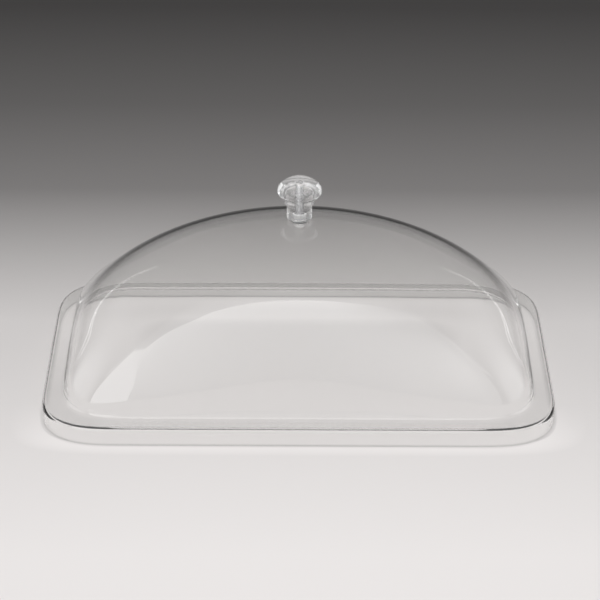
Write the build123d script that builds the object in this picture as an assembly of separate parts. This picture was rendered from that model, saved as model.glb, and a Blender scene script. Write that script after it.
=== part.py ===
from build123d import *
import math
import os

# Clear domed cover for a rectangular buffet tray, with a screwed-on knob.
# Millimetres. +Z up, +X along the length, origin in the middle of the rim's lower edge.

# Rim: a short skirt, a rounded upper edge and a flat ledge
LENGTH = 530.0
WIDTH = 325.0
RIM_HEIGHT = 19.5
RIM_CORNER_R = 61.0
SKIRT_DRAFT_DEG = 1.5
RIM_EDGE_R = 5.0
RIM_INNER_EDGE_R = 0.8
FOOT_EDGE_R = 0.6
LEDGE = 20.7
WALL = 3.0

# Dome: rounded rectangle at its root, ellipse at its top
DOME_RISE = 158.0
ROOT_CORNER_R = 56.0
ROOT_FILLET_R = 7.0
CORNER_FADE = 7.5
SECTION_STEP_DEG = 4
POINTS_PER_SIDE = 6
POINTS_PER_CORNER = 6
SCREW_HOLE_D = 6.6

# Knob, heights above its foot
KNOB_HEAD_R = 23.0
KNOB_EQUATOR_Z = 29.5
KNOB_CROWN = 15.4
KNOB_CROWN_EDGE_R = 10.2
KNOB_BELLY = 9.4
KNOB_BELLY_EDGE_R = 5.3
KNOB_NECK_R = 15.0
KNOB_BEAD_R = 15.6
KNOB_COLLAR_R = 13.1
KNOB_COLLAR_Z = 12.1
KNOB_BEAD_Z = 16.9
KNOB_BEAD_SWELL = 0.2
KNOB_GROOVE = 1.3
KNOB_FOOT_GAP = 1.2
KNOB_FOOT_CHAMFER = 0.6
KNOB_BORE_D = 6.0
KNOB_BORE_DEPTH = 36.0
DRILL_POINT = 1.8
KNOB_RECESS_D = 9.6
KNOB_RECESS_DEPTH = 5.8

# Fixing: spacer bush, washers and screw
SPACER_D = 9.4
SPACER_BORE_D = 6.4
SEAL_D = 18.0
SEAL_T = 1.2
WASHER_D = 14.0
WASHER_T = 1.6
WASHER_BORE_D = 6.4
SCREW_D = 5.9
SCREW_LENGTH = 40.0
SCREW_TIP_CHAMFER = 0.9
SCREW_HEAD_D = 12.0
SCREW_HEAD_H = 4.6
SCREW_HEAD_SIDE = 2.1
SCREW_HEAD_FLAT_D = 6.8
SCREW_SLOT = (6.0, 1.5, 2.6)

# Places that follow from the sizes above
APEX_Z = RIM_HEIGHT + DOME_RISE
DOME_A = LENGTH / 2 - LEDGE
DOME_B = WIDTH / 2 - LEDGE


def corner_factor(angle, a, b, r):
    """How far outside the ellipse (a cos, b sin) the rounded rectangle lies on the same ray."""
    x = a * abs(math.cos(angle))
    y = b * abs(math.sin(angle))
    to_side = min(a / x if x > 1e-9 else math.inf, b / y if y > 1e-9 else math.inf)
    if x * to_side <= a - r or y * to_side <= b - r:
        return to_side
    p = x * x + y * y
    q = x * (a - r) + y * (b - r)
    rest = (a - r) ** 2 + (b - r) ** 2 - r * r
    return (q + math.sqrt(q * q - p * rest)) / p


def quarter_angles(a, b, r):
    """Angles of the section points in one quarter, closer together round the corner arc."""
    start = math.atan2((b - r) / b, 1)
    end = math.atan2(1, (a - r) / a)
    side = [start * i / POINTS_PER_SIDE for i in range(POINTS_PER_SIDE)]
    corner = [start + (end - start) * i / POINTS_PER_CORNER for i in range(POINTS_PER_CORNER)]
    far_side = [end + (math.pi / 2 - end) * i / POINTS_PER_SIDE for i in range(POINTS_PER_SIDE)]
    return side + corner + far_side


def section_angles(a, b, r):
    """Angles of the section points all round, mirrored so that the four quarters are alike."""
    quarter = quarter_angles(a, b, r)
    mirrored = [math.pi - t for t in reversed(quarter[1:])]
    half = quarter + [math.pi / 2] + mirrored
    return half + [t + math.pi for t in half]


def dome_solid(a, b, r, rise, skirt):
    """Solid inside one face of the dome, carried down by a straight skirt below its root."""
    angles = section_angles(a, b, r)
    knots = angles + [2 * math.pi]
    wires = []
    climbs = [math.radians(s) for s in range(0, 90, SECTION_STEP_DEG)]
    climbs.append(math.acos(0.4 * SCREW_HOLE_D / a))
    stations = [(-skirt, 0.0), (-skirt / 2, 0.0)] + [(rise * math.sin(climb), climb) for climb in climbs]
    for height, climb in stations:
        reach = math.cos(climb)
        points = []
        for t in angles:
            k = reach * (1 + (corner_factor(t, a, b, r) - 1) * reach**CORNER_FADE)
            points.append((a * math.cos(t) * k, b * math.sin(t) * k, RIM_HEIGHT + height))
        wires.append(Wire([Edge.make_spline(points, periodic=True, parameters=knots)]))
    return Solid.make_loft(wires)


def rim_block(inset, top_z, edge_r, foot_z):
    """Drafted block inside one face of the skirt and ledge, with its upper edge rounded."""
    outline = RectangleRounded(LENGTH - 2 * inset, WIDTH - 2 * inset, RIM_CORNER_R - inset)
    block = extrude(Pos(0, 0, foot_z) * outline, top_z - foot_z, taper=SKIRT_DRAFT_DEG)
    return fillet(block.faces().sort_by(Axis.Z)[-1].edges(), edge_r)


def root_edges(body, z):
    """The ring of edges where the dome meets the ledge at height z."""
    inside = DOME_A + WALL + 1
    ring = body.edges().filter_by(lambda e: abs(e.bounding_box().min.Z - z) < 0.01)
    ring = ring.filter_by(lambda e: abs(e.bounding_box().max.Z - z) < 0.01)
    return ring.filter_by(lambda e: max(abs(e.bounding_box().min.X), abs(e.bounding_box().max.X)) < inside)


def make_dome_cover():
    """Outer form less inner form: each is the dome standing on its rim, blended at the root."""
    ledge_z = RIM_HEIGHT - WALL
    outer = rim_block(0, RIM_HEIGHT, RIM_EDGE_R, 0) + dome_solid(DOME_A, DOME_B, ROOT_CORNER_R, DOME_RISE, 6)
    outer = fillet(root_edges(outer, RIM_HEIGHT), ROOT_FILLET_R)
    inner_dome = dome_solid(DOME_A - WALL, DOME_B - WALL, ROOT_CORNER_R - WALL, DOME_RISE - WALL, 9)
    inner = rim_block(WALL, ledge_z, RIM_INNER_EDGE_R, 0) + inner_dome
    inner = fillet(root_edges(inner, ledge_z), ROOT_FILLET_R + WALL)
    cover = outer - inner
    cover -= Pos(0, 0, APEX_Z) * Cylinder(SCREW_HOLE_D / 2, 6 * WALL)
    foot = cover.faces().sort_by(Axis.Z)[0]
    return fillet(foot.edges(), FOOT_EDGE_R)


def oval_arcs(rise, edge_r):
    """Edge arc and cap arc of half an oval: how far out and back their centres lie, and where they meet."""
    out = KNOB_HEAD_R - edge_r
    back = (out**2 - (rise - edge_r) ** 2) / (2 * (rise - edge_r))
    return out, back, math.degrees(math.atan2(back, out))


def make_knob(foot_z):
    """Turned mushroom knob: collar, double bead and flattened ball head, bored from its foot."""
    crown_out, crown_back, crown_turn = oval_arcs(KNOB_CROWN, KNOB_CROWN_EDGE_R)
    belly_out, belly_back, belly_turn = oval_arcs(KNOB_BELLY, KNOB_BELLY_EDGE_R)
    belly_cap_r = KNOB_BELLY + belly_back
    neck_turn = math.degrees(math.acos(KNOB_NECK_R / belly_cap_r))
    neck_z = KNOB_EQUATOR_Z + belly_back - belly_cap_r * math.sin(math.radians(neck_turn))
    neck = (KNOB_NECK_R, neck_z)
    bead_top = (KNOB_NECK_R, neck_z - KNOB_GROOVE)
    bead_middle = (KNOB_BEAD_R + KNOB_BEAD_SWELL, (KNOB_BEAD_Z + bead_top[1]) / 2)
    bead_low = (KNOB_BEAD_R, KNOB_BEAD_Z)
    collar_foot = (KNOB_COLLAR_R, KNOB_FOOT_CHAMFER)
    collar_top = (KNOB_COLLAR_R, KNOB_COLLAR_Z)
    recess_foot = (KNOB_RECESS_D / 2, 0)
    with BuildSketch(Plane.XZ) as profile:
        with BuildLine():
            Polyline(recess_foot, (KNOB_COLLAR_R - KNOB_FOOT_CHAMFER, 0), collar_foot, collar_top)
            TangentArc(collar_top, bead_low, tangent=(0, 1))
            ThreePointArc(bead_low, bead_middle, bead_top)
            Line(bead_top, neck)
            CenterArc((0, KNOB_EQUATOR_Z + belly_back), belly_cap_r, -neck_turn, neck_turn - belly_turn)
            CenterArc((belly_out, KNOB_EQUATOR_Z), KNOB_BELLY_EDGE_R, -belly_turn, belly_turn)
            CenterArc((crown_out, KNOB_EQUATOR_Z), KNOB_CROWN_EDGE_R, 0, crown_turn)
            CenterArc((0, KNOB_EQUATOR_Z - crown_back), KNOB_CROWN + crown_back, crown_turn, 90 - crown_turn)
            Polyline(
                (0, KNOB_EQUATOR_Z + KNOB_CROWN),
                (0, KNOB_BORE_DEPTH + DRILL_POINT),
                (KNOB_BORE_D / 2, KNOB_BORE_DEPTH),
                (KNOB_BORE_D / 2, KNOB_RECESS_DEPTH),
                (KNOB_RECESS_D / 2, KNOB_RECESS_DEPTH),
                recess_foot,
            )
        make_face()
    return Pos(0, 0, foot_z) * revolve(profile.sketch, Axis.Z)


def make_ring(outer_d, bore_d, thickness, low_z):
    """Flat round ring standing on low_z."""
    at_foot = (Align.CENTER, Align.CENTER, Align.MIN)
    ring = Cylinder(outer_d / 2, thickness, align=at_foot) - Cylinder(bore_d / 2, thickness, align=at_foot)
    return Pos(0, 0, low_z) * ring


def make_screw(seat_z):
    """Pan head machine screw, head down, its head bearing upwards at seat_z."""
    r = SCREW_D / 2
    head_r = SCREW_HEAD_D / 2
    shoulder = (head_r, -SCREW_HEAD_SIDE)
    head_flat = (SCREW_HEAD_FLAT_D / 2, -SCREW_HEAD_H)
    with BuildSketch(Plane.XZ) as profile:
        with BuildLine():
            Polyline(
                head_flat,
                (0, -SCREW_HEAD_H),
                (0, SCREW_LENGTH),
                (r - SCREW_TIP_CHAMFER, SCREW_LENGTH),
                (r, SCREW_LENGTH - SCREW_TIP_CHAMFER),
                (r, 0),
                (head_r, 0),
                shoulder,
            )
            TangentArc(shoulder, head_flat, tangent=(0, -1))
        make_face()
    screw = revolve(profile.sketch, Axis.Z)
    length, width, depth = SCREW_SLOT
    for turn in (0, 90):
        slot = Box(length, width, depth, align=(Align.CENTER, Align.CENTER, Align.MIN))
        screw -= Pos(0, 0, -SCREW_HEAD_H) * Rot(0, 0, turn) * slot
    return Pos(0, 0, seat_z) * screw


# Seats: a flat ring touches a curved dome on its highest points
hole_r = SCREW_HOLE_D / 2
spacer_z = APEX_Z - DOME_RISE * (1 - math.sqrt(1 - (hole_r / DOME_A) ** 2))
inner_rise = DOME_RISE - WALL
inner_b = DOME_B - WALL
seal_top_z = RIM_HEIGHT + inner_rise * math.sqrt(1 - (SEAL_D / 2 / inner_b) ** 2)
washer_top_z = seal_top_z - SEAL_T
screw_seat_z = washer_top_z - WASHER_T
knob_foot_z = spacer_z + KNOB_FOOT_GAP

nodes = {
    "dome_cover": make_dome_cover(),
    "knob": make_knob(knob_foot_z),
    "knob_spacer": make_ring(SPACER_D, SPACER_BORE_D, KNOB_FOOT_GAP + KNOB_RECESS_DEPTH, spacer_z),
    "sealing_washer": make_ring(SEAL_D, SPACER_BORE_D, SEAL_T, seal_top_z - SEAL_T),
    "steel_washer": make_ring(WASHER_D, WASHER_BORE_D, WASHER_T, washer_top_z - WASHER_T),
    "knob_screw": make_screw(screw_seat_z),
}

os.makedirs("parts", exist_ok=True)
for name, solid in nodes.items():
    export_step(solid, f"parts/{name}.step")
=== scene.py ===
import math

import bpy
import numpy as np
from mathutils import Matrix, Vector


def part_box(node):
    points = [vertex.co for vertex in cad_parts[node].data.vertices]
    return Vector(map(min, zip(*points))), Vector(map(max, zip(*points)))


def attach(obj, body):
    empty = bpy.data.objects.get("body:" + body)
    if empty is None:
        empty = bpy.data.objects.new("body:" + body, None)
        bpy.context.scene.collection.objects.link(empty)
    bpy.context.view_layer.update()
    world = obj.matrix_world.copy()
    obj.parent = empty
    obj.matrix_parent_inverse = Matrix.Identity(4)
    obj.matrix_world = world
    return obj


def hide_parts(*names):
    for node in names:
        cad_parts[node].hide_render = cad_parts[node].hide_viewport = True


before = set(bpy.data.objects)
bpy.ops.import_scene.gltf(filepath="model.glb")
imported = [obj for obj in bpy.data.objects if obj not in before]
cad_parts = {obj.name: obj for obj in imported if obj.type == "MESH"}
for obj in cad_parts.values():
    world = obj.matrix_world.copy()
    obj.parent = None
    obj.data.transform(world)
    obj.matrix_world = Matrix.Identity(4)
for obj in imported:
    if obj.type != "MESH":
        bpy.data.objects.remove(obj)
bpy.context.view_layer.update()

# Cover
# One clear shell moulded in polycarbonate, 3 mm thick: a pillow-shaped dome on a flat ledge, and a short
# drafted skirt to stand on, with a rounded upper edge. The moulding is polished, and a plain hole at its top
# takes the knob's screw.
cover_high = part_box("dome_cover")[1]
wall = 0.003
rim_height = 0.0195
rim_corner = 0.0936
rim_edge_r = 0.005
inner_edge_r = 0.0008
foot_edge_r = 0.0006
skirt_draft = math.radians(1.5)
ledge_width = 0.0207
root_corner = 0.086
root_fillet_r = 0.004
corner_fade = 7.5
crown_reach = 0.12
hole_r = 0.0033
dome_half = np.array([cover_high.x - ledge_width, cover_high.y - ledge_width])
dome_top_z = 0.1775
dome_rise = dome_top_z - rim_height
dome_steps = 62
crown_steps = 12
dome_foot = 1.15 * root_fillet_r
fillet_z = rim_height + root_fillet_r


def rounded_loop(half_x, half_y, corner, short_steps=8, corner_steps=40, long_steps=24):
    """Points and outward normals round a rectangle with softly rounded corners, anticlockwise from +X.

    A quarter is half a short side, a corner that begins corner away from the sharp one, and half a long
    side. Round the corner the heading is 90 degrees times s - sin(2 pi s) / (2 pi), so its curvature swells
    and fades smoothly, and its points are the running sum of the heading's direction. Mirrored in the Y axis
    a quarter makes a half, and the half turned by 180 degrees the rest, so loops of any size match point for
    point.
    """
    fine = 32
    share = (np.arange(corner_steps * fine) + 0.5) / (corner_steps * fine)
    bend = np.pi / 2 * (share - np.sin(2 * np.pi * share) / (2 * np.pi))
    on, across = np.cumsum(np.cos(bend)), np.cumsum(np.sin(bend))
    on, across = corner * on / on[-1], corner * across / across[-1]
    pick = np.arange(1, corner_steps) * fine - 1
    steps = np.arange(corner_steps) / corner_steps
    turn = np.pi / 2 * (steps - np.sin(2 * np.pi * steps) / (2 * np.pi))
    up = np.linspace(0, 1, short_steps, endpoint=False)
    back = np.linspace(1, 0, long_steps + 1)
    flat_x, flat_y = half_x - corner, half_y - corner
    corner_x = half_x - np.concatenate([[0], across[pick]])
    corner_y = flat_y + np.concatenate([[0], on[pick]])
    x = np.concatenate([np.full(short_steps, half_x), corner_x, flat_x * back])
    y = np.concatenate([flat_y * up, corner_y, np.full(long_steps + 1, half_y)])
    nx = np.concatenate([np.ones(short_steps), np.cos(turn), np.zeros(long_steps + 1)])
    ny = np.concatenate([np.zeros(short_steps), np.sin(turn), np.ones(long_steps + 1)])
    quarter = np.stack([x, y, nx, ny], axis=-1)
    mirrored = quarter[::-1] * (-1, 1, -1, 1)
    half = np.concatenate([quarter[:-1], mirrored[:-1]])
    whole = np.concatenate([half, -half])
    return whole[:, :2], whole[:, 2:]


def arc(centre, radius, start, end, steps):
    """Points of a circular arc in a profile plane, from one angle to another in degrees."""
    turn = np.radians(np.linspace(start, end, steps))[:, None]
    return np.array(centre) + radius * np.concatenate([np.cos(turn), np.sin(turn)], axis=1)


def carried(profile, loop, normal):
    """A profile of (outward, height) points carried round a loop: loop + outward * normal, at its height."""
    flat = loop[None] + profile[:, None, :1] * normal[None]
    height = np.broadcast_to(profile[:, None, 1:], flat.shape[:2] + (1,))
    return np.concatenate([flat, height], axis=-1)


def dome_loops(root, half, rise, reach):
    """Level loops of the dome, where reach is the cosine of the climb from its root.

    A loop is reach times a sum: the ellipse inside the root loop, and what the root stands out beyond it
    times reach to the power corner_fade. Its height is the rim's plus rise times the sine of the climb.
    """
    angle = np.arctan2(root[:, 1] / half[1], root[:, 0] / half[0])
    ellipse = half * np.stack([np.cos(angle), np.sin(angle)], axis=-1)
    reach = reach[:, None, None]
    flat = reach * (ellipse + (root - ellipse) * reach**corner_fade)
    height = np.broadcast_to(rim_height + rise * np.sqrt(1 - reach**2), flat.shape[:2] + (1,))
    return np.concatenate([flat, height], axis=-1)


def crown_loops(loop, half, rise, share):
    """Loops on the ellipsoid at the dome's top, from a given loop (share 0) to the hole's edge (share 1)."""
    rim = hole_r * loop / np.linalg.norm(loop, axis=1, keepdims=True)
    share = share[:, None, None]
    flat = loop * (1 - share) + rim * share
    height = rim_height + rise * np.sqrt(1 - ((flat / half) ** 2).sum(axis=-1, keepdims=True))
    return np.concatenate([flat, height], axis=-1)


def between(first, last, steps):
    """Loops evenly spaced on the straight lines from one loop to another, both left out."""
    share = np.linspace(0, 1, steps + 2)[1:-1, None, None]
    return first[None] * (1 - share) + last[None] * share


def grid_mesh(name, loops, closed):
    """Mesh over a stack of loops, with quads round each loop and from loop to loop.

    A closed stack joins its last loop to its first. Otherwise its first and last loop are single points,
    and a fan closes each of these poles. Loops run anticlockwise seen from outside the stack's start.
    """
    around = loops.shape[1]
    points = (loops if closed else loops[1:-1]).reshape(-1, 3)
    index = np.arange(len(points)).reshape(-1, around)
    here = index if closed else index[:-1]
    rows = np.roll(index, -1, axis=0) if closed else index[1:]
    quads = np.stack([here, rows, np.roll(rows, -1, axis=1), np.roll(here, -1, axis=1)], axis=-1)
    faces = quads.reshape(-1, 4).tolist()
    if not closed:
        points = np.concatenate([points, loops[0, :1], loops[-1, :1]])
        first_pole, last_pole = np.full(around, index.size), np.full(around, index.size + 1)
        top = np.stack([first_pole, index[0], np.roll(index[0], -1)], axis=-1)
        bottom = np.stack([last_pole, np.roll(index[-1], -1), index[-1]], axis=-1)
        faces += top.tolist() + bottom.tolist()
    mesh = bpy.data.meshes.new(name)
    mesh.from_pydata(points.tolist(), [], faces)
    mesh.shade_smooth()
    return mesh


def placed(name, mesh, material, node):
    """Puts a piece in the scene for a CAD node, on the part's one body, with the given material."""
    mesh.materials.append(material)
    piece = bpy.data.objects.new(name, mesh)
    bpy.context.collection.objects.link(piece)
    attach(piece, "root")
    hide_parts(node)


def lean(height):
    """How far out of the foot's outline the skirt's outer face stands at a height: inward by its draft."""
    return -height * math.tan(skirt_draft)


draft_deg = math.degrees(skirt_draft)
edge_z = rim_height - rim_edge_r
edge_centre = (lean(edge_z) - rim_edge_r / math.cos(skirt_draft), edge_z)
inner_edge_z = rim_height - wall - inner_edge_r
inner_edge_centre = (lean(inner_edge_z) - wall - inner_edge_r / math.cos(skirt_draft), inner_edge_z)
foot_in = foot_edge_r / math.cos(skirt_draft)
foot_centre = (lean(foot_edge_r) - foot_in, foot_edge_r)
foot_inner_centre = (lean(foot_edge_r) - wall + foot_in, foot_edge_r)
outer_edge = arc(edge_centre, rim_edge_r, 90, draft_deg, 12)
foot_outer = arc(foot_centre, foot_edge_r, draft_deg, -90, 5)
foot_inner = arc(foot_inner_centre, foot_edge_r, -90, draft_deg - 180, 5)
inner_edge = arc(inner_edge_centre, inner_edge_r, draft_deg, 90, 7)

foot_loop, foot_normal = rounded_loop(cover_high.x, cover_high.y, rim_corner)
root_loop, root_normal = rounded_loop(*dome_half, root_corner)
inner_half = dome_half - wall
inner_root = root_loop - wall * root_normal
outer_fillet = arc((root_fillet_r, fillet_z), root_fillet_r, 180, 270, 10)
inner_fillet = arc((root_fillet_r, fillet_z), root_fillet_r + wall, 270, 180, 10)

climb = np.linspace(math.acos(crown_reach), math.asin(dome_foot / dome_rise), dome_steps)
outer_dome = dome_loops(root_loop, dome_half, dome_rise, np.cos(climb))
inner_dome = dome_loops(inner_root, inner_half, dome_rise - wall, np.cos(climb[::-1]))
crown_share = np.linspace(0, 1, crown_steps)
outer_crown = crown_loops(outer_dome[0, :, :2], dome_half, dome_rise, crown_share[:0:-1])
inner_crown = crown_loops(inner_dome[-1, :, :2], inner_half, dome_rise - wall, crown_share[1:])
outer_root = carried(outer_fillet, root_loop, root_normal)
rim_top = carried(outer_edge, foot_loop, foot_normal)
foot = carried(np.concatenate([foot_outer, foot_inner]), foot_loop, foot_normal)
rim_under = carried(inner_edge, foot_loop, foot_normal)
under_root = carried(inner_fillet, root_loop, root_normal)
cover_loops = np.concatenate([
    outer_crown,
    outer_dome,
    outer_root,
    between(outer_root[-1], rim_top[0], 4),
    rim_top,
    between(rim_top[-1], foot[0], 4),
    foot,
    between(foot[-1], rim_under[0], 4),
    rim_under,
    between(rim_under[-1], under_root[0], 4),
    under_root,
    inner_dome,
    inner_crown,
    between(inner_crown[-1], outer_crown[0], 2),
])


def polish_group():
    """Node group for polished clear plastic: a slow ripple left by the mould, and faint rubbed haze.

    Ripple is a height for a bump, a low noise at Ripple Scale. Roughness goes from Clear to Rubbed by a
    fractal noise at Haze Scale, whose lower half is cut away so that most of the surface stays clear.
    """
    group = bpy.data.node_groups.new("polished_plastic", "ShaderNodeTree")
    for name, value in (("Ripple Scale", 10.0), ("Haze Scale", 40.0), ("Clear", 0.01), ("Rubbed", 0.05)):
        socket = group.interface.new_socket(name, in_out="INPUT", socket_type="NodeSocketFloat")
        socket.default_value = value
    for name in ("Ripple", "Roughness"):
        group.interface.new_socket(name, in_out="OUTPUT", socket_type="NodeSocketFloat")
    nodes, links = group.nodes, group.links
    given = nodes.new("NodeGroupInput")
    out = nodes.new("NodeGroupOutput")
    place = nodes.new("ShaderNodeTexCoord")
    ripple = nodes.new("ShaderNodeTexNoise")
    ripple.inputs["Detail"].default_value = 1.0
    haze = nodes.new("ShaderNodeTexNoise")
    haze.inputs["Detail"].default_value = 6.0
    rub_starts, rub_full = 0.52, 0.78
    rub = nodes.new("ShaderNodeMapRange")
    rub.inputs["From Min"].default_value = rub_starts
    rub.inputs["From Max"].default_value = rub_full
    links.new(place.outputs["Object"], ripple.inputs["Vector"])
    links.new(place.outputs["Object"], haze.inputs["Vector"])
    links.new(given.outputs["Ripple Scale"], ripple.inputs["Scale"])
    links.new(given.outputs["Haze Scale"], haze.inputs["Scale"])
    links.new(haze.outputs["Fac"], rub.inputs["Value"])
    links.new(given.outputs["Clear"], rub.inputs["To Min"])
    links.new(given.outputs["Rubbed"], rub.inputs["To Max"])
    links.new(ripple.outputs["Fac"], out.inputs["Ripple"])
    links.new(rub.outputs["Result"], out.inputs["Roughness"])
    return group


def math_node(nodes, links, operation, *values):
    """A math node whose inputs are numbers or other nodes' outputs. Gives its output."""
    node = nodes.new("ShaderNodeMath")
    node.operation = operation
    for socket, value in zip(node.inputs, values):
        if isinstance(value, bpy.types.NodeSocket):
            links.new(value, socket)
        else:
            socket.default_value = value
    return node.outputs["Value"]


polish = polish_group()
passed_on = 0.975
most_bounces = 5.5


def clear_plastic(name, colour, ior, clarity, ripple_scale, ripple_height, haze_scale, rubbed):
    """Clear polished plastic: glass that bends and mirrors light, and lets the lamps shine through it.

    Lamp light, and light that is still caught inside after most_bounces, goes straight on, and each face
    passes the share passed_on of it.
    """
    material = bpy.data.materials.new(name)
    material.use_nodes = True
    nodes, links = material.node_tree.nodes, material.node_tree.links
    shader = nodes["Principled BSDF"]
    shader.inputs["Base Color"].default_value = (*colour, 1)
    shader.inputs["Transmission Weight"].default_value = clarity
    shader.inputs["IOR"].default_value = ior
    marks = nodes.new("ShaderNodeGroup")
    marks.node_tree = polish
    marks.inputs["Ripple Scale"].default_value = ripple_scale
    marks.inputs["Haze Scale"].default_value = haze_scale
    marks.inputs["Clear"].default_value = 0.0
    marks.inputs["Rubbed"].default_value = rubbed
    bump = nodes.new("ShaderNodeBump")
    bump.inputs["Strength"].default_value = 1.0
    bump.inputs["Distance"].default_value = ripple_height
    links.new(marks.outputs["Ripple"], bump.inputs["Height"])
    links.new(bump.outputs["Normal"], shader.inputs["Normal"])
    links.new(marks.outputs["Roughness"], shader.inputs["Roughness"])
    through = nodes.new("ShaderNodeBsdfTransparent")
    through.inputs["Color"].default_value = (passed_on, passed_on, passed_on, 1)
    path = nodes.new("ShaderNodeLightPath")
    caught = math_node(nodes, links, "GREATER_THAN", path.outputs["Ray Depth"], most_bounces)
    leaves = math_node(nodes, links, "MAXIMUM", caught, path.outputs["Is Shadow Ray"])
    mix = nodes.new("ShaderNodeMixShader")
    links.new(leaves, mix.inputs["Fac"])
    links.new(shader.outputs["BSDF"], mix.inputs[1])
    links.new(through.outputs["BSDF"], mix.inputs[2])
    links.new(mix.outputs["Shader"], nodes["Material Output"].inputs["Surface"])
    return material


cover_clear = clear_plastic("cover_clear", (0.985, 0.985, 0.98), ior=1.5, clarity=1.0, ripple_scale=9.0,
                            ripple_height=0.0002, haze_scale=35.0, rubbed=0.06)
cover_mesh = grid_mesh("cover_shell", cover_loops, closed=True)
placed("cover_shell", cover_mesh, cover_clear, "dome_cover")

# Spacer
# A short bush turned from white nylon. It stands on the dome round the screw hole and sits in the recess in
# the knob's foot, so that the knob bears on it and not on the dome.
spacer_low, spacer_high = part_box("knob_spacer")
spacer_r = spacer_high.x
spacer_bore_r = 0.0032
spacer_edge = 0.0003
spacer_around = 64


def turned(profile, steps):
    """A profile of (radius, height) points turned about Z: x = r cos t, y = r sin t, z = height."""
    turn = np.linspace(0, 2 * np.pi, steps, endpoint=False)
    radius, height = profile[:, :1], profile[:, 1:]
    return np.stack([radius * np.cos(turn), radius * np.sin(turn), height + 0 * turn], axis=-1)


def ring_profile(low, high, bore, outer, edge):
    """Closed section of a ring with rounded corners, from the bore's upper corner outwards and down."""
    corners = (
        ((bore + edge, high - edge), 180),
        ((outer - edge, high - edge), 90),
        ((outer - edge, low + edge), 0),
        ((bore + edge, low + edge), -90),
    )
    return np.concatenate([arc(centre, edge, start, start - 90, 4) for centre, start in corners])


def grain_group():
    """Node group for a finely grained surface, from one fractal noise in object space.

    Grain is the noise itself, as a height for a bump. Roughness goes from Smooth to Rough with it.
    """
    group = bpy.data.node_groups.new("fine_grain", "ShaderNodeTree")
    for name, value in (("Scale", 900.0), ("Detail", 4.0), ("Smooth", 0.3), ("Rough", 0.5)):
        socket = group.interface.new_socket(name, in_out="INPUT", socket_type="NodeSocketFloat")
        socket.default_value = value
    for name in ("Grain", "Roughness"):
        group.interface.new_socket(name, in_out="OUTPUT", socket_type="NodeSocketFloat")
    nodes, links = group.nodes, group.links
    given = nodes.new("NodeGroupInput")
    out = nodes.new("NodeGroupOutput")
    place = nodes.new("ShaderNodeTexCoord")
    noise = nodes.new("ShaderNodeTexNoise")
    sheen = nodes.new("ShaderNodeMapRange")
    links.new(place.outputs["Object"], noise.inputs["Vector"])
    links.new(given.outputs["Scale"], noise.inputs["Scale"])
    links.new(given.outputs["Detail"], noise.inputs["Detail"])
    links.new(noise.outputs["Fac"], sheen.inputs["Value"])
    links.new(given.outputs["Smooth"], sheen.inputs["To Min"])
    links.new(given.outputs["Rough"], sheen.inputs["To Max"])
    links.new(noise.outputs["Fac"], out.inputs["Grain"])
    links.new(sheen.outputs["Result"], out.inputs["Roughness"])
    return group


grain = grain_group()


def grained(name, colour, scale, detail, smooth, rough, relief=None):
    """A finely grained material and its shader. Relief is the grain's strength and height as a bump."""
    material = bpy.data.materials.new(name)
    material.use_nodes = True
    nodes, links = material.node_tree.nodes, material.node_tree.links
    shader = nodes["Principled BSDF"]
    shader.inputs["Base Color"].default_value = (*colour, 1)
    marks = nodes.new("ShaderNodeGroup")
    marks.node_tree = grain
    marks.inputs["Scale"].default_value = scale
    marks.inputs["Detail"].default_value = detail
    marks.inputs["Smooth"].default_value = smooth
    marks.inputs["Rough"].default_value = rough
    links.new(marks.outputs["Roughness"], shader.inputs["Roughness"])
    if relief:
        strength, height = relief
        bump = nodes.new("ShaderNodeBump")
        bump.inputs["Strength"].default_value = strength
        bump.inputs["Distance"].default_value = height
        links.new(marks.outputs["Grain"], bump.inputs["Height"])
        links.new(bump.outputs["Normal"], shader.inputs["Normal"])
    return material, shader


spacer_white, shader = grained("spacer_white", (0.95, 0.95, 0.94), scale=900.0, detail=4.0, smooth=0.35,
                               rough=0.55, relief=(0.2, 0.00005))
shader.inputs["Subsurface Weight"].default_value = 1.0
shader.inputs["Subsurface Radius"].default_value = (1, 1, 1)
shader.inputs["Subsurface Scale"].default_value = 0.004
spacer_section = ring_profile(spacer_low.z, spacer_high.z, spacer_bore_r, spacer_r, spacer_edge)
spacer_mesh = grid_mesh("spacer_bush", turned(spacer_section, spacer_around), closed=True)
placed("spacer_bush", spacer_mesh, spacer_white, "knob_spacer")

# Knob
# A solid clear acrylic knob, turned and buffed: a flattened ball head, a double bead under it and a
# straight collar. Its foot is recessed for the spacer, and a blind tapped hole takes the screw.
knob_low, knob_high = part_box("knob")
foot_z = knob_low.z
head_r = knob_high.x
equator_z = foot_z + 0.0295
crown_rise = knob_high.z - equator_z
crown_edge_r = 0.0102
belly_drop = 0.0094
belly_edge_r = 0.0053
neck_r = 0.015
bead_r = 0.0156
bead_swell = 0.0002
bead_low_z = foot_z + 0.0169
groove = 0.0013
collar_r = 0.0131
collar_top_z = foot_z + 0.0121
foot_chamfer = 0.0006
bore_r = 0.003
bore_top_z = foot_z + 0.036
drill_point = 0.0018
screw_top_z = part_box("knob_screw")[1].z
thread_root_r = 0.0023
recess_r = 0.0046
recess_top_z = foot_z + 0.0057
knob_around = 144
knob_crease = math.radians(30)


def oval_cap(rise, edge_r):
    """Half an oval of two tangent arcs, a small one round its edge and a large one over its middle.

    Gives the radius of the small arc's centre, how far the large arc's centre lies back behind the oval's
    middle plane, and the angle in degrees at which the arcs meet.
    """
    out = head_r - edge_r
    back = (out**2 - (rise - edge_r) ** 2) / (2 * (rise - edge_r))
    return out, back, math.degrees(math.atan2(back, out))


def through_points(first, middle, last, steps):
    """Points on a parabola from first to last, whose middle point is given."""
    share = np.linspace(0, 1, steps)[:, None]
    first, middle, last = np.array(first), np.array(middle), np.array(last)
    bulge = middle - (first + last) / 2
    return first * (1 - share) + last * share + 4 * share * (1 - share) * bulge


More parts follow.
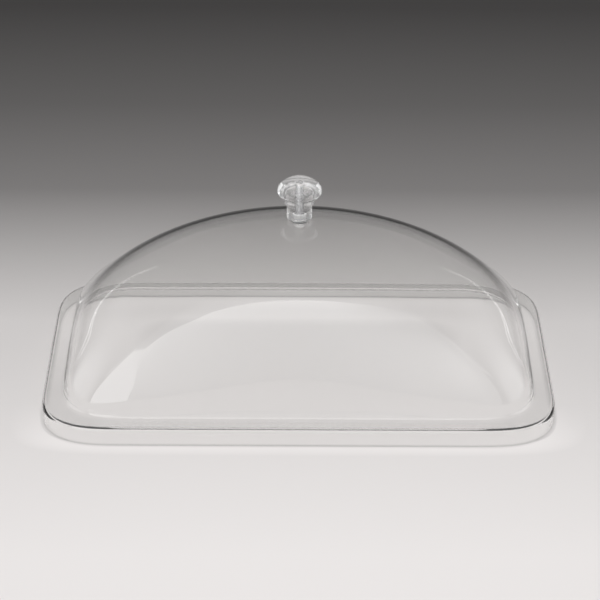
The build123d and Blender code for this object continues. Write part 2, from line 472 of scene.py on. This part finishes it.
def straight(first, last, steps):
    """Points evenly spaced on a straight line, both ends included."""
    share = np.linspace(0, 1, steps)[:, None]
    return np.array(first) * (1 - share) + np.array(last) * share


crown_out, crown_back, crown_turn = oval_cap(crown_rise, crown_edge_r)
belly_out, belly_back, belly_turn = oval_cap(belly_drop, belly_edge_r)
belly_cap_r = belly_drop + belly_back
neck_turn = math.degrees(math.acos(neck_r / belly_cap_r))
neck_z = equator_z + belly_back - belly_cap_r * math.sin(math.radians(neck_turn))
bead_top_z = neck_z - groove
bead_middle = (bead_r + bead_swell, (bead_top_z + bead_low_z) / 2)
cove_rise = bead_low_z - collar_top_z
cove_out = bead_r - collar_r
cove_r = (cove_rise**2 + cove_out**2) / (2 * cove_out)
cove_turn = math.degrees(math.asin(cove_rise / cove_r))
knob_profile = np.concatenate([
    arc((0, equator_z - crown_back), crown_rise + crown_back, 90, crown_turn, 28),
    arc((crown_out, equator_z), crown_edge_r, crown_turn, 0, 20)[1:],
    arc((belly_out, equator_z), belly_edge_r, 0, -belly_turn, 16)[1:],
    arc((0, equator_z + belly_back), belly_cap_r, -belly_turn, -neck_turn, 12)[1:],
    straight((neck_r, neck_z), (neck_r, bead_top_z), 4)[1:],
    through_points((neck_r, bead_top_z), bead_middle, (bead_r, bead_low_z), 9)[1:],
    arc((collar_r + cove_r, collar_top_z), cove_r, 180 - cove_turn, 180, 8)[1:],
    straight((collar_r, collar_top_z), (collar_r, foot_z + foot_chamfer), 5)[1:],
    straight((collar_r - foot_chamfer, foot_z), (recess_r, foot_z), 4),
    straight((recess_r, recess_top_z), (thread_root_r, recess_top_z), 3),
    straight((thread_root_r, screw_top_z), (bore_r, screw_top_z), 2),
    straight((bore_r, bore_top_z), (0, bore_top_z + drill_point), 3),
])
knob_clear = clear_plastic("knob_clear", (0.99, 0.99, 0.99), ior=1.49, clarity=0.9, ripple_scale=60.0,
                           ripple_height=0.00005, haze_scale=120.0, rubbed=0.05)
knob_mesh = grid_mesh("knob_turning", turned(knob_profile, knob_around), closed=False)
knob_mesh.set_sharp_from_angle(angle=knob_crease)
placed("knob_turning", knob_mesh, knob_clear, "knob")

# Sealing washer
# A soft ring cut from clear silicone sheet, pressed between the dome's inner face and the steel washer, so
# that the screw neither leaks nor cracks the plastic.
seal_low, seal_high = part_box("sealing_washer")
seal_edge = 0.00045
seal_bore_r = 0.0032
seal_around = 72
seal_clear, shader = grained("seal_clear", (0.88, 0.89, 0.89), scale=600.0, detail=5.0, smooth=0.3,
                             rough=0.5)
shader.inputs["Transmission Weight"].default_value = 0.85
shader.inputs["IOR"].default_value = 1.41
seal_section = ring_profile(seal_low.z, seal_high.z, seal_bore_r, seal_high.x, seal_edge)
seal_mesh = grid_mesh("seal_ring", turned(seal_section, seal_around), closed=True)
placed("seal_ring", seal_mesh, seal_clear, "sealing_washer")

# Steel washer
# A plain washer stamped from stainless sheet, with a slightly rolled edge. It spreads the screw head's load
# over the soft seal.
washer_low, washer_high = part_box("steel_washer")
washer_edge = 0.0002
washer_bore_r = 0.0032
washer_around = 72
stainless, shader = grained("stainless", (0.72, 0.72, 0.73), scale=1500.0, detail=6.0, smooth=0.18,
                            rough=0.36, relief=(0.15, 0.00002))
shader.inputs["Metallic"].default_value = 1.0
washer_section = ring_profile(washer_low.z, washer_high.z, washer_bore_r, washer_high.x, washer_edge)
washer_mesh = grid_mesh("washer_ring", turned(washer_section, washer_around), closed=True)
placed("washer_ring", washer_mesh, stainless, "steel_washer")

# Screw
# A stainless M6 pan head screw with a rolled thread and a cross recess, driven up from inside the dome into
# the knob's tapped hole. Its shank shows through the clear knob.
screw_low, screw_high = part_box("knob_screw")
pitch = 0.001
thread_depth = 0.0005
shank_r = 0.00295
screw_head_r = screw_high.x
screw_head_side = 0.0021
screw_head_h = 0.0046
seat_z = screw_low.z + screw_head_h
tip_chamfer = 0.0009
slot_half_length = 0.003
slot_half_width = 0.00075
slot_depth = 0.0026
slot_draft = 0.0001
screw_around = 96
head_rings = 48
thread_rings = 420
screw_crease = math.radians(40)


def thread_loops(low, high, steps, around):
    """Loops of a screw thread, whose rounded groove winds up by a pitch with each turn.

    The radius is the shank's less the thread's depth times the squared cosine of pi times the height in
    pitches less the share of a turn. At the tip the chamfer's cone limits it.
    """
    turn = np.linspace(0, 2 * np.pi, around, endpoint=False)
    height = np.linspace(low, high, steps)[:, None]
    phase = np.pi * (height / pitch - turn / (2 * np.pi))
    radius = shank_r - thread_depth * np.cos(phase) ** 2
    radius = np.minimum(radius, shank_r - tip_chamfer + (high - height))
    return np.stack([radius * np.cos(turn), radius * np.sin(turn), height + 0 * turn], axis=-1)


def head_loops(rings, around):
    """Loops of the pan head's face, from its middle out: a rounded pan with a cross recess.

    The pan sinks by its height times 1 less the root of 1 less the radius' share to the fourth power. The
    recess is as deep as the slot where a point is within half a slot's width of either line of the cross
    and within its length, and its walls rise over a tenth of a millimetre.
    """
    turn = np.linspace(0, 2 * np.pi, around, endpoint=False)
    radius = np.linspace(0, 1, rings)[:, None] * screw_head_r
    x, y = radius * np.cos(turn), radius * np.sin(turn)
    pan = (screw_head_h - screw_head_side) * (1 - (1 - (radius / screw_head_r) ** 4) ** 0.5)
    cross = np.minimum(np.maximum(np.abs(x) - slot_half_length, np.abs(y) - slot_half_width),
                       np.maximum(np.abs(y) - slot_half_length, np.abs(x) - slot_half_width))
    sunk = slot_depth * np.clip(-cross / slot_draft, 0, 1)
    return np.stack([x, y, screw_low.z + np.maximum(pan + 0 * turn, sunk)], axis=-1)


head_face = head_loops(head_rings, screw_around)
head_corner = (screw_head_r, seat_z)
head_side = turned(straight((screw_head_r, seat_z - screw_head_side), head_corner, 4)[1:], screw_around)
head_under = turned(straight(head_corner, (shank_r, seat_z), 4)[1:], screw_around)
shank = thread_loops(seat_z, screw_high.z, thread_rings, screw_around)[1:]
tip = turned(straight((shank_r - tip_chamfer, screw_high.z), (0, screw_high.z), 4)[1:], screw_around)
screw_loops = np.concatenate([head_face, head_side, head_under, shank, tip])[::-1]
screw_mesh = grid_mesh("screw_turning", screw_loops, closed=False)
screw_mesh.set_sharp_from_angle(angle=screw_crease)
placed("screw_turning", screw_mesh, stainless, "knob_screw")

# Studio floor
# A seamless sheet of pale paper, painted bright under the lid and darker towards the back as painted shade.
# The foot beds into it by a tenth of a millimetre, so that no gap shows. The light that the clear walls
# throw on it inside the dome and in front of the foot is painted on, and so is a shade along the foot.
floor_half = 12.0
bedding = 0.0001
# Painted shade: the paper's colour darkens from front to back along Y, by these (Y, grey) stops.
floor_shade_stops = ((-0.36, 0.76), (0.10, 0.58), (0.44, 0.198), (0.70, 0.12), (1.05, 0.064))
floor_warmth = (1.0, 0.965, 0.955)
# Painted light: a brighter ring on the paper inside the foot's outline, fading in towards the back.
ring_half = (0.2647, 0.1609)
ring_power = 8
light_ring_stops = ((0.008, 0.0), (0.046, 0.65), (0.15, 0.65), (0.46, 1.0), (0.90, 1.0), (0.93, 0.0))
light_ring_from_y, light_ring_full_y = -0.06, 0.09
light_ring_gain = 0.25
# Painted light: a glow on the paper just in front of the foot.
glow_starts, glow_ends = 1.09, 2.6
glow_from_y, glow_full_y = -0.08, -0.16
glow_gain = 0.15
# Painted shade: the paper darkens within contact_reach of the foot, by ambient occlusion.
contact_reach = 0.004
contact_full = 0.5
contact_shade = 0.8


def ranged(nodes, links, value, start, end, low=0.0, high=1.0, kind="LINEAR"):
    """A value carried from the range start to end over to the range low to high, and held at its ends."""
    node = nodes.new("ShaderNodeMapRange")
    node.interpolation_type = kind
    node.inputs["From Min"].default_value = start
    node.inputs["From Max"].default_value = end
    node.inputs["To Min"].default_value = low
    node.inputs["To Max"].default_value = high
    links.new(value, node.inputs["Value"])
    return node.outputs["Result"]


def ramp(nodes, links, value, stops):
    """The colour that a value has on a ramp of (position, colour) stops."""
    node = nodes.new("ShaderNodeValToRGB")
    for _ in stops[2:]:
        node.color_ramp.elements.new(1.0)
    for element, (position, colour) in zip(node.color_ramp.elements, stops):
        element.position = position
        element.color = (*colour, 1)
    links.new(value, node.inputs["Fac"])
    return node.outputs["Color"]


floor_corners = [(-floor_half, -floor_half, bedding), (floor_half, -floor_half, bedding),
                 (floor_half, floor_half, bedding), (-floor_half, floor_half, bedding)]
floor_mesh = bpy.data.meshes.new("studio_floor")
floor_mesh.from_pydata(floor_corners, [], [(0, 1, 2, 3)])
floor_paper = bpy.data.materials.new("floor_paper")
floor_paper.use_nodes = True
nodes, links = floor_paper.node_tree.nodes, floor_paper.node_tree.links
shader = nodes["Principled BSDF"]
shader.inputs["Roughness"].default_value = 0.9
shader.inputs["Specular IOR Level"].default_value = 0.0
place = nodes.new("ShaderNodeTexCoord")
split = nodes.new("ShaderNodeSeparateXYZ")
links.new(place.outputs["Object"], split.inputs["Vector"])
back = split.outputs["Y"]
first_y, last_y = floor_shade_stops[0][0], floor_shade_stops[-1][0]
shade_stops = [((y - first_y) / (last_y - first_y), [grey * c for c in floor_warmth])
               for y, grey in floor_shade_stops]
shade = ramp(nodes, links, ranged(nodes, links, back, first_y, last_y), shade_stops)
# Painted light ring: the paper brightens inside the foot's outline, more towards the back.
east = math_node(nodes, links, "ABSOLUTE", split.outputs["X"])
north = math_node(nodes, links, "ABSOLUTE", back)
east_share = math_node(nodes, links, "DIVIDE", east, ring_half[0])
north_share = math_node(nodes, links, "DIVIDE", north, ring_half[1])
east_power = math_node(nodes, links, "POWER", east_share, ring_power)
north_power = math_node(nodes, links, "POWER", north_share, ring_power)
outward = math_node(nodes, links, "ADD", east_power, north_power)
ring = ramp(nodes, links, outward, [(position, (grey, grey, grey)) for position, grey in light_ring_stops])
behind = ranged(nodes, links, back, light_ring_from_y, light_ring_full_y)
thrown = math_node(nodes, links, "MULTIPLY", ring, behind)
# Painted glow of light on the paper in front of the foot, fading outwards.
beyond = math_node(nodes, links, "GREATER_THAN", outward, glow_starts)
fading = ranged(nodes, links, outward, glow_ends, glow_starts)
before = ranged(nodes, links, back, glow_from_y, glow_full_y)
outside = math_node(nodes, links, "MULTIPLY", beyond, fading)
glow = math_node(nodes, links, "MULTIPLY", outside, before)
with_light_ring = math_node(nodes, links, "MULTIPLY_ADD", thrown, light_ring_gain, 1.0)
with_glow = math_node(nodes, links, "MULTIPLY_ADD", glow, glow_gain, with_light_ring)
# Painted contact shade along the foot, from ambient occlusion.
contact = nodes.new("ShaderNodeAmbientOcclusion")
contact.samples = 8
contact.inputs["Distance"].default_value = contact_reach
contact_shading = ranged(nodes, links, contact.outputs["AO"], contact_full, 1.0, contact_shade, 1.0)
lit = nodes.new("ShaderNodeVectorMath")
lit.operation = "SCALE"
links.new(shade, lit.inputs[0])
links.new(math_node(nodes, links, "MULTIPLY", with_glow, contact_shading), lit.inputs["Scale"])
links.new(lit.outputs["Vector"], shader.inputs["Base Color"])
floor_mesh.materials.append(floor_paper)
floor = bpy.data.objects.new("studio_floor", floor_mesh)
bpy.context.collection.objects.link(floor)

# Studio light
# A soft lamp overhead, a weak one in front and large soft boxes at the sides light the floor and the pieces.
# A tall panel in front, a white board front left and two narrow strips behind show as mirror images only:
# the strips are the thin lines on the dome's front corners. The rest of the room is dark.
side_lift = 0.21
side_from, side_full = 0.78, 0.97
side_bright = 1.05
room_dark = 0.11
side_axis = Vector((1, 0, side_lift)).normalized()
world = bpy.data.worlds.new("room")
bpy.context.scene.world = world
world.use_nodes = True
nodes, links = world.node_tree.nodes, world.node_tree.links
place = nodes.new("ShaderNodeTexCoord")
split = nodes.new("ShaderNodeSeparateXYZ")
links.new(place.outputs["Generated"], split.inputs["Vector"])
either_side = math_node(nodes, links, "ABSOLUTE", split.outputs["X"])
lifted = math_node(nodes, links, "MULTIPLY", split.outputs["Z"], side_axis.z)
towards = math_node(nodes, links, "MULTIPLY_ADD", either_side, side_axis.x, lifted)
strength = ranged(nodes, links, towards, side_from, side_full, room_dark, side_bright, "SMOOTHSTEP")
nodes["Background"].inputs["Color"].default_value = (1, 1, 1, 1)
links.new(strength, nodes["Background"].inputs["Strength"])


def soft_lamp(name, size, watts, place, tilt):
    """A square soft lamp that is never mirrored. It shines down, or tilted by degrees towards the back."""
    lamp = bpy.data.lights.new(name, "AREA")
    lamp.size = size
    lamp.energy = watts
    lamp.cycles.use_multiple_importance_sampling = False
    holder = bpy.data.objects.new(name, lamp)
    holder.location = place
    holder.rotation_euler = (math.radians(tilt), 0, 0)
    holder.visible_camera = False
    holder.visible_glossy = False
    holder.visible_transmission = False
    bpy.context.collection.objects.link(holder)


soft_lamp("overhead", size=3.0, watts=78.0, place=(0, -0.2, 2.6), tilt=0)
soft_lamp("front_fill", size=2.5, watts=15.0, place=(0, -2.6, 1.7), tilt=58)


def glowing_board(name, corners, low, high, rise=1.0, fades=None):
    """A flat card that glows in mirrors and clear pieces only, and leaves the floor's light to the lamps.

    From its lowest corner to its highest its brightness climbs by a power of the height. Where fades is
    given as two places along X and a share, the climb shrinks to that share between the two.
    """
    mesh = bpy.data.meshes.new(name)
    mesh.from_pydata(corners, [], [tuple(range(len(corners)))])
    material = bpy.data.materials.new(name)
    material.use_nodes = True
    material.cycles.emission_sampling = "NONE"
    nodes, links = material.node_tree.nodes, material.node_tree.links
    nodes.remove(nodes["Principled BSDF"])
    heights = [corner[2] for corner in corners]
    place = nodes.new("ShaderNodeTexCoord")
    split = nodes.new("ShaderNodeSeparateXYZ")
    links.new(place.outputs["Object"], split.inputs["Vector"])
    share = ranged(nodes, links, split.outputs["Z"], min(heights), max(heights))
    climb = math_node(nodes, links, "POWER", share, rise)
    if fades:
        start, end, kept = fades
        aside = ranged(nodes, links, split.outputs["X"], start, end, 1.0, kept, "SMOOTHSTEP")
        climb = math_node(nodes, links, "MULTIPLY", climb, aside)
    strength = ranged(nodes, links, climb, 0.0, 1.0, low, high)
    path = nodes.new("ShaderNodeLightPath")
    mirrored = math_node(nodes, links, "LESS_THAN", path.outputs["Diffuse Depth"], 0.5)
    shown = math_node(nodes, links, "MULTIPLY", strength, mirrored)
    glow = nodes.new("ShaderNodeEmission")
    links.new(shown, glow.inputs["Strength"])
    links.new(glow.outputs["Emission"], nodes["Material Output"].inputs["Surface"])
    mesh.materials.append(material)
    board = bpy.data.objects.new(name, mesh)
    board.visible_camera = False
    board.visible_shadow = False
    bpy.context.collection.objects.link(board)


def upright(y, outline):
    """Corners of an upright board across the view, from its (x, z) outline."""
    return [(x, y, z) for x, z in outline]


panel_y, soft_top_y, left_y = -2.6, -2.65, -2.5
panel_outline = ((-2.7, 0.0), (2.45, 0.0), (3.75, 6.0), (2.3, 4.76), (1.28, 4.25), (0.14, 4.17),
                 (-1.95, 4.1))
glowing_board("front_panel", upright(panel_y, panel_outline), low=0.55, high=2.75, rise=0.85,
              fades=(0.4, 2.6, 0.1))
soft_top_outline = ((-4.5, 3.9), (4.5, 3.9), (4.5, 7.2), (-4.5, 7.2))
glowing_board("panel_soft_top", upright(soft_top_y, soft_top_outline), low=0.7, high=0.05)
left_outline = ((-3.2, 0.0), (-0.48, 0.0), (-0.54, 0.63), (-0.64, 1.04), (-0.90, 1.72), (-1.18, 2.22),
                (-1.85, 3.5), (-3.4, 5.2))
glowing_board("left_board", upright(left_y, left_outline), low=1.95, high=1.8)
strip_x, strip_y = 1.30, 0.945
strip_half = 0.009
strip_bright = 2.4
strip_elevation = math.radians(40)
strip_away = math.hypot(strip_x, strip_y)
strip_height = strip_away * math.tan(strip_elevation)
across_x, across_y = strip_half * strip_y / strip_away, strip_half * strip_x / strip_away
for side, name in ((-1, "strip_left"), (1, "strip_right")):
    near, far = side * (strip_x - across_x), side * (strip_x + across_x)
    strip_corners = [(near, strip_y + across_y, 0.0), (far, strip_y - across_y, 0.0),
                     (far, strip_y - across_y, strip_height), (near, strip_y + across_y, strip_height)]
    glowing_board(name, strip_corners, low=strip_bright, high=strip_bright)

# Camera
# A long lens from the front and above. Its place follows from where the lid's origin lies in the picture and
# from how many pixels a metre has there.
lens_px = 2450.0
picture_px = 600.0
origin_px = (298.9, 366.8)
px_per_m = 934.6
look_down = math.radians(28.13)
turned_by = math.radians(0.26)
rolled_by = math.radians(0.38)
camera_data = bpy.data.cameras.new("camera")
camera_data.sensor_width = 36.0
camera_data.lens = camera_data.sensor_width * lens_px / picture_px
away = lens_px / px_per_m
right_of_axis = (origin_px[0] - picture_px / 2) / lens_px * away
below_axis = (origin_px[1] - picture_px / 2) / lens_px * away
stand = Matrix.Rotation(-turned_by, 4, "Z") @ Matrix.Rotation(math.pi / 2 - look_down, 4, "X")
camera = bpy.data.objects.new("camera", camera_data)
camera.matrix_world = (stand @ Matrix.Translation((-right_of_axis, below_axis, away))
                       @ Matrix.Rotation(rolled_by, 4, "Z"))
bpy.context.collection.objects.link(camera)
bpy.context.scene.camera = camera
bpy.context.scene.view_settings.view_transform = "Standard"
